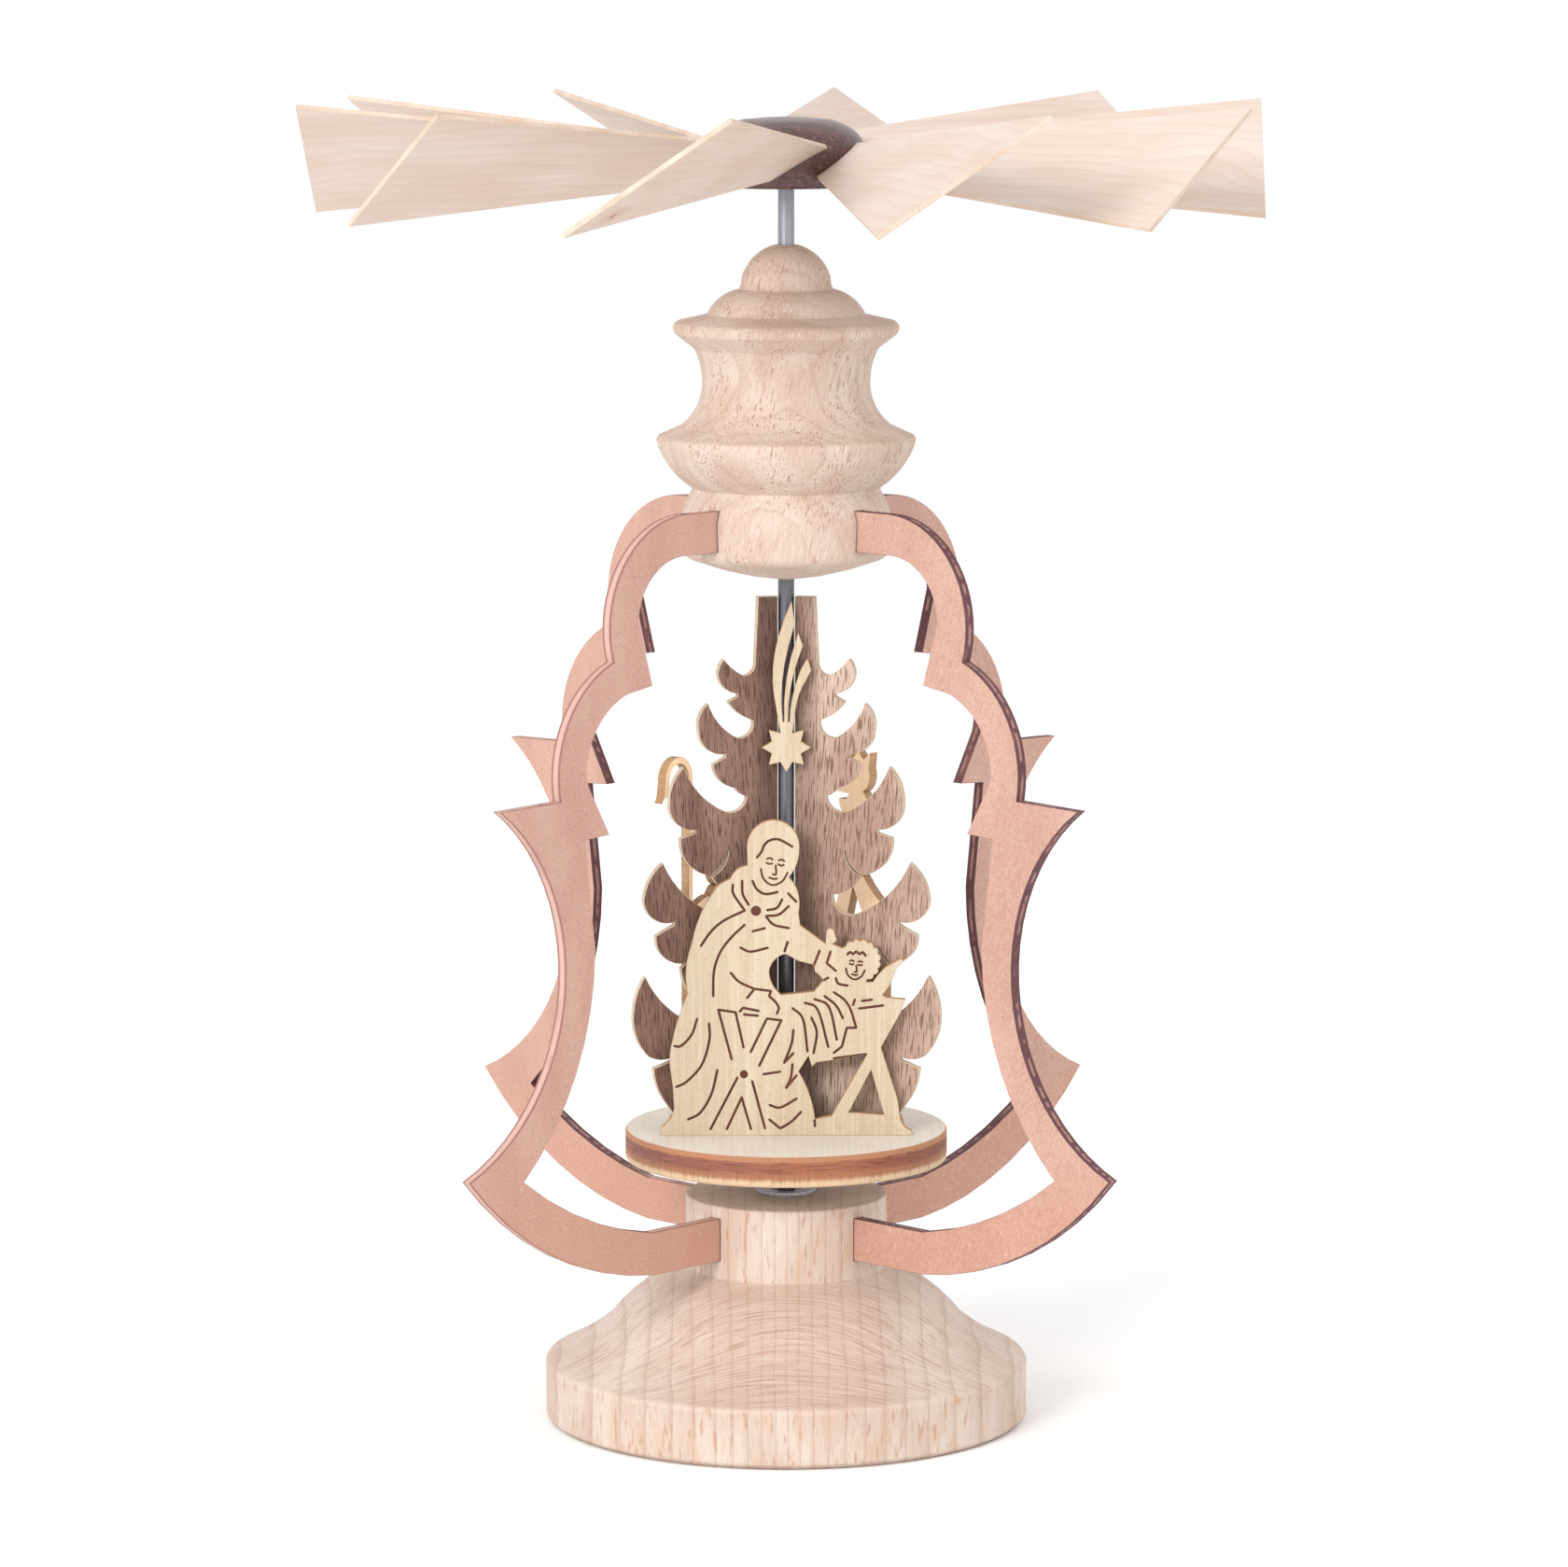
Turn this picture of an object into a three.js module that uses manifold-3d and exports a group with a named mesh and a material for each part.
// A small Christmas pyramid: a turned foot and turret joined by four fretwork arms,
// and inside them an axle that carries a platform, a tree, figures and a ten-bladed rotor.
// Millimetres, +Z up, origin on the table under the axle, front towards -Y.
// Azimuths are in degrees from the front, growing towards +X. Heights start at the table
// unless a comment says otherwise.

import * as THREE from 'three';
import { mergeVertices } from 'three/addons/utils/BufferGeometryUtils.js';
import Module from 'manifold-3d';

const wasm = await Module();
wasm.setup();

// Clearances
const fitGap = 0.25; // round a glued tab, tongue or rod, on each side
const runningGap = 0.1; // round the turning axle, on the radius
const rotorBoreGap = 0.05; // round the axle in the rotor hub, on the radius

// How finely curves are divided
const turnedSides = 36;
const axleSides = 16;
const arcStep = 18; // degrees of arc for each straight stretch

// Turned foot
const footRadius = 30;
const footChamfer = 0.7;
const rimHeight = 6.6;
const rimRound = 1;
const waistRadius = 22.3; // where the slope turns from hollow to swelling
const waistHeight = 12.1;
const waistHollow = 0.3;
const slopeHeight = 19.2; // where the slope meets the neck
const slopeSwell = 0.9;
const neckRadius = 12.5;
const neckHeight = 28.2;

// Bearing cup in the top of the neck
const cupFlangeRadius = 3.75;
const cupFlangeHeight = 0.6;
const cupBodyRadius = 3;
const cupDepth = 4.2;
const cupMouthRadius = 2.5;
const cupWellDepth = 3.2;

// Turned turret
const turretHeight = 41;
const bandRadius = 12.9; // of the turret where the arms' tabs enter
const bandRise = 7.6; // of the band's widest line over the turret's underside

// Arms
const armThickness = 1.5;
const armAzimuths = { front_left: -45, front_right: 45, back_left: -135, back_right: 135 };
const tabDepth = 5; // how deep a tab sits in the wood
const neckTabBottom = 21.4;
const neckTabHeight = 5.3;
const neckTabReach = 24; // from the axis to where the lower limb leaves the tab's line
const neckTabSwell = 1.4; // of the lower limb's upper edge next to it
const turretTabRise = 4.2; // of the tab over the turret's underside
const turretTabHeight = 5;
const turretTabReach = 18.3;
const turretTabSwell = 5.1; // of the upper limb's outer edge next to it

// Axle
const axleRadius = 1;
const axlePointLength = 1.8;
const axlePointGap = 0.15;
const axleTopRise = 12.6; // of its top over the turret
const axleTopBevel = 0.3;

// Platform
const platformRadius = 20;
const platformThickness = 3.8;
const platformGap = 4.5; // over the foot's neck
const platformEdge = 0.2;

// Tree of three half boards
const wingThickness = 1.2;
const wingAzimuths = { left: -75, right: 75, back: 180 };
const treeHeight = 66.4; // above the platform
const treeTopGap = 2.1; // under the turret

// Fretwork panels on the platform
const panelThickness = 1.2;
const cribHeight = 39.4;
const cribPanelBack = 5; // from the axis to the back face of each panel
const figureHeight = 46.4;
const sidePanelBack = 10.4;
const sidePanelAzimuth = 127.5;

// Comet in front of the axle
const cometThickness = 1;
const cometBack = 1.75;
const cometTipGap = 2.5; // under the turret
const cometTailHeight = 18.1; // from the star's centre to the tip
const starRadius = 3.05;
const starNotchRadius = 1.95;
const starPoints = 8;

// Rotor
const bladeCount = 10;
const firstBladeAzimuth = 15.1;
const bladePitch = 33;
const rotorRadius = 58.2; // from the axis to the tips, along a blade
const bladeTipWidth = 24.6;
const bladeHubWidth = 7.8; // where it leaves the hub
const bladeThickness = 0.6;
const bladeOffset = 4.6; // of its centre line, sideways from the axis
const bladeRise = 3.4; // of its centre line over the hub's underside
const tongueDepth = 4.6;
const hubRadius = 9.6;
const hubBoreDepth = 6;
const hubBoreClearance = 0.5; // over the axle's end

// Heights that follow from the ones above, from the foot up
const platformTop = neckHeight + platformGap + platformThickness;
const turretBottom = platformTop + treeHeight + treeTopGap;
const axleTopHeight = turretBottom + turretHeight + axleTopRise;

// Finishes
const finishes = {
  beech: { color: 0xe6c7a8, roughness: 0.6, metalness: 0 },
  copperBoard: { color: 0xdca88c, roughness: 0.65, metalness: 0 },
  walnutVeneer: { color: 0x8d6e60, roughness: 0.6, metalness: 0 },
  darkWalnut: { color: 0x4f3a3c, roughness: 0.4, metalness: 0 },
  paleVeneer: { color: 0xe9d7b6, roughness: 0.6, metalness: 0 },
  bladeVeneer: { color: 0xf0d9bd, roughness: 0.55, metalness: 0 },
  plywood: { color: 0xd9b48c, roughness: 0.6, metalness: 0 },
  steel: { color: 0x8f9096, roughness: 0.3, metalness: 1 },
};

const pyramid = new THREE.Group();

function addPiece(parent, name, geometry, finish) {
  const mesh = new THREE.Mesh(geometry, new THREE.MeshStandardMaterial(finishes[finish]));
  mesh.name = name;
  parent.add(mesh);
  return mesh;
}

// Stations drawn in hundredths of a size, as stations in millimetres
function drawn(size, stations) {
  return stations.map((station) => station.map((value) => value * size / 100));
}

// Points of an edge given by stations [across, up, bow]. The bow is how far the stretch that
// leads to the station swells, as an arc, to the right of the straight line to it.
function bowed(stations) {
  const points = [new THREE.Vector2(stations[0][0], stations[0][1])];
  stations.slice(1).forEach(([x, y, bow = 0], index) => {
    const [fromX, fromY] = stations[index];
    if (bow !== 0) {
      const chord = Math.hypot(x - fromX, y - fromY);
      const radius = (chord * chord / 4 + bow * bow) / (2 * bow);
      const half = 2 * Math.atan(2 * bow / chord);
      const steps = Math.ceil(Math.abs(2 * half) / THREE.MathUtils.degToRad(arcStep));
      const rightX = (y - fromY) / chord;
      const rightY = (fromX - x) / chord;
      const centreX = (fromX + x) / 2 + rightX * (bow - radius);
      const centreY = (fromY + y) / 2 + rightY * (bow - radius);
      for (let step = 1; step < steps; step += 1) {
        const turn = half * (2 * step / steps - 1);
        const along = Math.sin(turn) * radius;
        const right = Math.cos(turn) * radius;
        points.push(new THREE.Vector2(
          centreX + rightX * right - rightY * along,
          centreY + rightY * right + rightX * along,
        ));
      }
    }
    points.push(new THREE.Vector2(x, y));
  });
  return points;
}

function turned(stations, sides = turnedSides) {
  const geometry = new THREE.LatheGeometry(bowed(stations), sides);
  geometry.rotateX(Math.PI / 2);
  return geometry;
}

// A board cut to an outline, with its own holes: across is X, up is Z, and its thickness
// runs from Y = 0 towards -Y.
function board(stations, thickness, holes = []) {
  const shape = new THREE.Shape(bowed(stations));
  holes.forEach((hole) => shape.holes.push(new THREE.Path(bowed(hole))));
  const geometry = new THREE.ExtrudeGeometry(shape, { depth: thickness, bevelEnabled: false });
  geometry.rotateX(Math.PI / 2);
  return geometry;
}

function solidOf(geometry) {
  const bare = geometry.clone();
  bare.deleteAttribute('normal');
  bare.deleteAttribute('uv');
  const merged = mergeVertices(bare, 1e-4);
  return new wasm.Manifold(new wasm.Mesh({
    numProp: 3,
    vertProperties: new Float32Array(merged.attributes.position.array),
    triVerts: new Uint32Array(merged.index.array),
  }));
}

function geometryOf(solid) {
  const mesh = solid.getMesh();
  const geometry = new THREE.BufferGeometry();
  const positions = new Float32Array(mesh.vertProperties);
  geometry.setAttribute('position', new THREE.BufferAttribute(positions, 3));
  geometry.setIndex(new THREE.BufferAttribute(new Uint32Array(mesh.triVerts), 1));
  geometry.computeVertexNormals();
  return geometry;
}

function cut(geometry, cutters) {
  const whole = solidOf(geometry);
  return geometryOf(cutters.reduce((rest, cutter) => rest.subtract(solidOf(cutter)), whole));
}

function join(geometries) {
  const [first, ...others] = geometries.map(solidOf);
  return geometryOf(others.reduce((whole, next) => whole.add(next), first));
}

// A group whose +X points outwards at an azimuth, for boards that stand edge-on to the axis
function radialGroup(azimuth) {
  const group = new THREE.Group();
  group.rotation.z = THREE.MathUtils.degToRad(azimuth - 90);
  pyramid.add(group);
  return group;
}

// A group whose -Y points outwards at an azimuth, for boards that face away from the axis
function facingGroup(azimuth) {
  const group = new THREE.Group();
  group.rotation.z = THREE.MathUtils.degToRad(azimuth);
  pyramid.add(group);
  return group;
}

// The mortises for one end of the four arms, sunk into a turned piece
function mortises(surfaceRadius, bottom, tabHeight) {
  const width = armThickness + 2 * fitGap;
  const height = tabHeight + 2 * fitGap;
  const inner = surfaceRadius - tabDepth - fitGap;
  const outer = surfaceRadius + tabDepth;
  return Object.values(armAzimuths).map((azimuth) => {
    const box = new THREE.BoxGeometry(outer - inner, width, height);
    box.translate((inner + outer) / 2, 0, bottom + tabHeight / 2);
    box.rotateZ(THREE.MathUtils.degToRad(azimuth - 90));
    return box;
  });
}

function foot() {
  const pocketRadius = cupBodyRadius + fitGap;
  const pocketFloor = neckHeight - cupDepth - fitGap;
  const body = turned([
    [0, 0],
    [footRadius - footChamfer, 0],
    [footRadius, footChamfer],
    [footRadius, rimHeight],
    [footRadius - rimRound / 2, rimHeight + rimRound, rimRound / 4],
    [waistRadius, waistHeight, -waistHollow],
    [neckRadius, slopeHeight, slopeSwell],
    [neckRadius, neckHeight],
    [pocketRadius, neckHeight],
    [pocketRadius, pocketFloor],
    [0, pocketFloor],
  ]);
  const slots = mortises(neckRadius, neckTabBottom, neckTabHeight);
  addPiece(pyramid, 'foot', cut(body, slots), 'beech');
}

const cupTop = neckHeight + cupFlangeHeight;
const wellBottom = cupTop - cupWellDepth;

function pivotCup() {
  const geometry = turned([
    [0, neckHeight - cupDepth],
    [cupBodyRadius, neckHeight - cupDepth],
    [cupBodyRadius, neckHeight],
    [cupFlangeRadius, neckHeight],
    [cupFlangeRadius, cupTop],
    [cupMouthRadius, cupTop],
    [0, wellBottom],
  ]);
  addPiece(pyramid, 'pivot_cup', geometry, 'steel');
}

function turret() {
  const bore = axleRadius + runningGap;
  const body = turned([
    [bore, 0],
    ...drawn(turretHeight, [
      [28.8, 6.3, 0.9],
      [31, 9.8, 0.7],
    ]),
    [bandRadius, bandRise],
    ...drawn(turretHeight, [
      [28.3, 26.8, 0.4],
      [28.3, 27.6],
      [38.3, 39.8, 1.2],
      [38.8, 41.7],
      [37.6, 43.4, 0.4],
      [31.7, 46.1],
      [25.1, 59.3, -1.8],
      [27.6, 69.3, -0.6],
      [33.4, 73.7],
      [33.9, 75.1],
      [32.4, 77.3, 0.4],
      [23.7, 79.3],
      [14.1, 86.8, 1.5],
      [13.4, 88.3],
      [12.4, 92.6, 0.3],
      [3.4, 100, 1.3],
    ]),
    [bore, turretHeight],
    [bore, 0],
  ]);
  const slots = mortises(bandRadius, turretTabRise, turretTabHeight);
  const piece = addPiece(pyramid, 'turret', cut(body, slots), 'beech');
  piece.position.z = turretBottom;
}

// One arm: outwards over the upper scallops, down the inside to the lower limb and its tab,
// then back up the outside. Heights start at the lower tab's underside.
function arm(position, azimuth) {
  const armHeight = turretBottom + turretTabRise + turretTabHeight - neckTabBottom;
  const geometry = board([
    [bandRadius - tabDepth, armHeight - turretTabHeight],
    [turretTabReach, armHeight - turretTabHeight],
    ...drawn(armHeight, [
      [28.1, 86.6, -2.3],
      [25.6, 78.1],
      [30.1, 77.4],
      [37.6, 67.7, -1.9],
      [37.3, 66.2],
      [33.5, 59.4],
      [37.9, 59.1],
      [36.1, 44.6],
      [49, 15.8, 3.3],
    ]),
    [neckTabReach, neckTabHeight, -neckTabSwell],
    [neckRadius - tabDepth, neckTabHeight],
    [neckRadius - tabDepth, 0],
    [neckTabReach, 0],
    ...drawn(armHeight, [
      [58.4, 17, 3.6],
      [52.6, 64.2, -14.1],
      [42.1, 64.5],
      [32.5, 81.7, 3.6],
    ]),
    [turretTabReach, armHeight, turretTabSwell],
    [bandRadius - tabDepth, armHeight],
  ], armThickness);
  const piece = addPiece(radialGroup(azimuth), `arm_${position}`, geometry, 'copperBoard');
  piece.position.set(0, armThickness / 2, neckTabBottom);
}

function axle() {
  const tip = wellBottom + axlePointGap;
  const geometry = turned([
    [0, tip],
    [axleRadius, tip + axlePointLength],
    [axleRadius, axleTopHeight - axleTopBevel],
    [axleRadius - axleTopBevel, axleTopHeight],
    [0, axleTopHeight],
  ], axleSides);
  addPiece(pyramid, 'axle', geometry, 'steel');
}

function platform() {
  const hole = axleRadius + fitGap;
  const bottom = platformTop - platformThickness;
  const geometry = turned([
    [hole, bottom],
    [platformRadius - platformEdge, bottom],
    [platformRadius, bottom + platformEdge],
    [platformRadius, platformTop - platformEdge],
    [platformRadius - platformEdge, platformTop],
    [hole, platformTop],
    [hole, bottom],
  ]);
  addPiece(pyramid, 'platform', geometry, 'plywood');
}

// One half board of the tree: from the platform up the outer edge, leaf by leaf, to the
// trunk's top and down beside the axle.
function treeWing(side, azimuth) {
  const trunkEdge = axleRadius + fitGap;
  const outline = [
    [trunkEdge, 0],
    ...drawn(treeHeight, [
      [17.3, 0],
      [23, 5.1, 0.6],
      [25.8, 12.3, 0.6],
      [22.1, 13.7],
      [22.1, 14.3],
      [26.7, 14.6, 0.5],
      [29.7, 22, 0.8],
      [27.4, 29.8, 0.6],
      [16.7, 19.9, -1.5],
      [10.5, 22.9, -1.2],
      [18.1, 25.2, 0.6],
      [20.5, 31, 0.5],
      [17.8, 34.8, -0.3],
      [18.2, 35.1],
      [20.2, 31.9, 0.3],
      [25.3, 37.3, 1.7],
      [21.8, 39.2],
      [21.8, 39.8],
      [27.6, 44.1, 1.8],
      [23.9, 50.9, 0.8],
      [13.4, 40.8, -1.5],
      [9, 44.4, -1.4],
      [14.5, 48, 0.9],
      [11.3, 52.7, -0.8],
      [11.7, 53],
      [15.1, 48.3, 0.8],
      [20.5, 55.4, 1.8],
      [17.6, 56.3],
      [17.6, 56.9],
      [22.6, 62, 1.7],
      [19.9, 68.7, 0.8],
      [11.9, 60.1, -1.2],
      [7.8, 62.8, -1.2],
      [10.1, 64.5, 0.3],
      [14.3, 69, 1.1],
      [11.9, 70.3],
      [11.9, 70.9],
      [17, 75.2, 1.5],
      [15.2, 80.4, 0.8],
      [9.5, 73.8, -0.9],
      [6.6, 77, -1.1],
      [11.4, 80.6, 0.5],
      [9.5, 81.5],
      [9.5, 82.1],
      [13.3, 86.1, 1.1],
      [12.2, 88.6, 0.2],
      [8.4, 85.4, -0.3],
      [6.2, 87.2, -0.5],
      [5.6, 100],
    ]),
    [trunkEdge, treeHeight],
  ];
  const geometry = board(outline, wingThickness);
  const piece = addPiece(radialGroup(azimuth), `tree_wing_${side}`, geometry, 'walnutVeneer');
  piece.position.set(0, wingThickness / 2, platformTop);
}

function panel(name, geometry, azimuth, back) {
  const piece = addPiece(facingGroup(azimuth), name, geometry, 'paleVeneer');
  piece.position.set(0, -back, platformTop);
}

// Stations of the curls round a head, from one angle to another in degrees
function curls([x, y], radius, from, to, count) {
  const swell = radius / 8;
  return Array.from({ length: count + 1 }, (unused, index) => {
    const angle = THREE.MathUtils.degToRad(from + (to - from) * index / count);
    return [x + radius * Math.cos(angle), y + radius * Math.sin(angle), index ? swell : 0];
  });
}

// A kneeling woman in a veil, on the left, bends over a child in a trough on trestles
function cribPanel() {
  const childHead = [22.6, 55.4];
  const childHeadRadius = 6.2;
  const outline = drawn(cribHeight, [
    [-39.3, 0],
    [39.3, 0],
    [39.3, 1.5],
    [35.5, 5.6, -0.8],
    [34.9, 10.9],
    [29.5, 28],
    [35.5, 38.8],
    [37.1, 43.2],
    [31.1, 43.8],
    [29.9, 44.7],
    [33.1, 49.5, 0.2],
    [34.3, 53],
    [36.9, 55.5],
    [35.5, 56.1],
    [31.1, 53.6],
    [27, 48.8, 0.3],
    [24.8, 48.8],
    ...curls(childHead, childHeadRadius, -65, 130, 9),
    [17.3, 59.5],
    [14.1, 60.9],
    [15.6, 62.2, 0.3],
    [14.8, 64.8],
    [12.4, 64.8, 1],
    [12.1, 61],
    [4.2, 66.7],
    [3.7, 70.8],
    [3.9, 75, 0.2],
    [0.6, 81.9, 0.7],
    [3.9, 91.5, 1],
    [-4.1, 100, 2.4],
    [-12.4, 91.5, 2.4],
    [-12.2, 85.6],
    [-17.5, 81.6, 1],
    [-21, 79.7],
    [-29.7, 60.7, 1.4],
    [-31.5, 49.2, 0.6],
    [-30.9, 45],
    [-36, 29.3, 0.5],
    [-36.6, 22.2, 0.3],
    [-35.3, 8.5, -0.3],
    [-39.3, 2.7, -0.7],
  ]);
  const belowTheArms = drawn(cribHeight, [
    [-1.7, 44.8],
    [-5.5, 52, -0.9],
    [-0.3, 57.7, -1.3],
    [3.6, 55.5],
    [8.4, 54.3],
    [8.8, 52.1],
    [11.4, 49.2, -0.3],
    [8.6, 45.8],
  ]);
  const underTheTrough = drawn(cribHeight, [
    [8.9, 5.2],
    [3.7, 20.4, 0.9],
    [6.8, 25.4],
    [7.9, 21.9],
    [9.2, 23.3],
    [12.7, 23.8],
    [25.2, 25.9],
    [14.1, 6.3],
  ]);
  const betweenTheLegs = drawn(cribHeight, [
    [19.4, 7.4],
    [26.4, 21],
    [30.5, 6.6],
  ]);
  const geometry = board(outline, panelThickness, [belowTheArms, underTheTrough, betweenTheLegs]);
  panel('crib_panel', geometry, 0, cribPanelBack);
}

// The strip of ground under a side figure; its ends slope
function ground(left, right) {
  return [
    [left, 0],
    [right, 0],
    [right - 1.6, 3.2, 0.4],
    [left + 1.6, 3.2],
  ];
}

function disc([x, y], radius) {
  return [
    [x, y - radius],
    [x, y + radius, radius],
    [x, y - radius, radius],
  ];
}

function figurePanel(name, shapes, azimuth) {
  const boards = shapes.map(([outline, ...holes]) => {
    const cutouts = holes.map((hole) => drawn(figureHeight, hole));
    return board(drawn(figureHeight, outline), panelThickness, cutouts);
  });
  panel(name, join(boards), azimuth, sidePanelBack);
}

// A shepherd in a cloak and hat, with a crook in one hand and a sheep at the feet
function shepherdPanel() {
  const cloak = [
    [-11.2, 2],
    [6.9, 2],
    [5.6, 26, -0.4],
    [6, 54, 0.6],
    [1.7, 63.4, 1],
    [-5.6, 63.4],
    [-9.9, 56, 1],
    [-9, 28, -0.8],
  ];
  const hat = [
    [-9.9, 71],
    [6, 71],
    [3.2, 73],
    [1.9, 78.4, 0.6],
    [-5.2, 78.4, 0.8],
    [-7.1, 73, 0.6],
  ];
  const sleeve = [
    [3, 52],
    [9.6, 51, 0.4],
    [14.9, 52.6, 0.4],
    [14.2, 56.7, 0.8],
    [4.7, 61.2, 0.6],
  ];
  const staffWidth = 1.9;
  const staffAcross = 11.6;
  const crookRadius = 4.1;
  const crookStart = 94;
  const crookAcross = staffAcross + staffWidth;
  const crookEnd = crookAcross + 2 * crookRadius;
  const crook = [
    [staffAcross, 2],
    [crookAcross, 2],
    [crookAcross, crookStart],
    [crookEnd, crookStart, -crookRadius],
    [crookEnd + 0.4, 89.8],
    [crookEnd + 3.8, 87.7, -0.4],
    [crookEnd + staffWidth + 0.4, 91, -0.3],
    [crookEnd + staffWidth, crookStart],
    [staffAcross, crookStart, crookRadius + staffWidth],
  ];
  const fleece = [
    [-22.8, 10],
    [-12.5, 9.5, 1.1],
    [-11.2, 18.5, 1.5],
    [-21.8, 19, 1.3],
    [-22.8, 10, 1.3],
  ];
  const frontLegs = [
    [-22, 2],
    [-19.8, 2],
    [-19.8, 11.6],
    [-22, 11.6],
  ];
  const backLegs = frontLegs.map(([across, up]) => [across + 7, up]);
  const sheepHead = [
    [-25, 17.7],
    [-21, 17],
    [-19.4, 22.4],
    [-22.4, 23.3],
    [-25.4, 20.3],
  ];
  const shapes = [ground(-24, 20), cloak, disc([-1.9, 68.2], 5.4), hat, sleeve, crook];
  shapes.push(fleece, frontLegs, backLegs, sheepHead);
  figurePanel('shepherd_panel', shapes.map((shape) => [shape]), -sidePanelAzimuth);
}

// A crowned man in a long open cloak holds out a casket
function giftBearerPanel() {
  const cloak = [
    [-14, 2],
    [14, 2],
    [12.5, 26, -0.6],
    [8, 52],
    [4.8, 67, -0.3],
    [4.6, 78],
    [1.9, 87.5, 0.9],
    [-4.1, 89.7, 0.4],
    [-6.7, 86.6, 0.4],
    [-4.7, 66.6, -0.4],
    [-12.7, 59.9, -0.4],
    [-14, 30, 0.4],
  ];
  const cloakOpening = [
    [-0.5, 63],
    [4.6, 46],
    [-10.6, 46],
  ];
  const crown = [
    [-7.3, 95],
    [1.9, 95],
    [2.4, 100],
    [-0.4, 97.8],
    [-2.7, 100],
    [-5, 97.8],
    [-7.8, 100],
  ];
  const hands = [
    [1.5, 80.8],
    [5.2, 84, 0.3],
    [5.4, 86.4, 0.3],
    [1, 86.6],
  ];
  const casket = [
    [-1, 87.9],
    [6, 88.2],
    [6.2, 90.3],
    [2.6, 91.4, 0.4],
    [-1, 90.3],
  ];
  const solidShapes = [ground(-20, 24), disc([-2.7, 93.7], 5), crown, hands, casket];
  const shapes = [[cloak, cloakOpening], ...solidShapes.map((shape) => [shape])];
  figurePanel('gift_bearer_panel', shapes, sidePanelAzimuth);
}

// A star with three curved tails, drawn round the star's centre
function comet() {
  const star = Array.from({ length: 2 * starPoints - 1 }, (unused, index) => {
    const angle = Math.PI * (0.5 + (index + 1) / starPoints);
    const radius = index % 2 ? starRadius : starNotchRadius;
    return [radius * Math.cos(angle), radius * Math.sin(angle)];
  });
  const tails = drawn(cometTailHeight, [
    [5.2, 17.7],
    [7.2, 31.5, -0.3],
    [13.3, 45.9, -0.6],
    [16.9, 53],
    [14.4, 60.8],
    [8.3, 49.2, 0.6],
    [2.2, 17.7, 1.4],
    [1.1, 17.7],
    [8, 60.8, -1.9],
    [11.3, 69.6],
    [8, 78.5],
    [2.8, 60.8],
    [-1.4, 17.7, 1.7],
    [-2.5, 17.7],
    [1.7, 70.2, -2.5],
    [5.5, 84],
    [3.6, 100],
    [-5, 76.8, 0.6],
    [-8.6, 36.5, 2.2],
  ]);
  const piece = addPiece(pyramid, 'comet', board([...star, ...tails], cometThickness), 'paleVeneer');
  piece.position.set(0, -cometBack, turretBottom - cometTipGap - cometTailHeight);
}

const hubBottom = axleTopHeight + hubBoreClearance - hubBoreDepth;
const bladeHeight = hubBottom + bladeRise;
const bladeTurns = Array.from({ length: bladeCount }, (unused, index) => (
  firstBladeAzimuth + index * 360 / bladeCount
));

// A blade along +X at its pitch, beside the axis, with its tongue inwards; growth is added to
// every side except the tip.
function bladePlate(growth) {
  const taper = (bladeTipWidth - bladeHubWidth) / (rotorRadius - hubRadius);
  const halfWidth = (distance) => (bladeHubWidth + taper * (distance - hubRadius)) / 2 + growth;
  const root = hubRadius - tongueDepth - growth;
  const thickness = bladeThickness + 2 * growth;
  const geometry = board([
    [root, -halfWidth(root)],
    [rotorRadius, -halfWidth(rotorRadius)],
    [rotorRadius, halfWidth(rotorRadius)],
    [root, halfWidth(root)],
  ], thickness);
  geometry.translate(0, thickness / 2, 0);
  geometry.rotateX(THREE.MathUtils.degToRad(bladePitch - 90));
  geometry.translate(0, bladeOffset, 0);
  return geometry;
}

function blade(azimuth, index) {
  const name = `blade_${String(index + 1).padStart(2, '0')}`;
  const piece = addPiece(radialGroup(azimuth), name, bladePlate(0), 'bladeVeneer');
  piece.position.z = bladeHeight;
}

function rotorHub() {
  const bore = axleRadius + rotorBoreGap;
  const body = turned([
    [0, hubBoreDepth],
    [bore, hubBoreDepth],
    [bore, 0],
    ...drawn(hubRadius, [
      [90, 0],
      [97, 8.2, 1.5],
      [100, 35],
      [100, 45],
      [85, 72, 3.6],
      [56, 84.6, 1.5],
      [0, 88.5, 0.5],
    ]),
  ]);
  const slots = bladeTurns.map((azimuth) => {
    const slot = bladePlate(fitGap);
    slot.rotateZ(THREE.MathUtils.degToRad(azimuth - 90));
    slot.translate(0, 0, bladeRise);
    return slot;
  });
  const piece = addPiece(pyramid, 'rotor_hub', cut(body, slots), 'darkWalnut');
  piece.position.z = hubBottom;
}

foot();
pivotCup();
Object.entries(armAzimuths).forEach(([position, azimuth]) => arm(position, azimuth));
turret();
axle();
platform();
Object.entries(wingAzimuths).forEach(([side, azimuth]) => treeWing(side, azimuth));
cribPanel();
shepherdPanel();
giftBearerPanel();
comet();
rotorHub();
bladeTurns.forEach(blade);

export default pyramid;
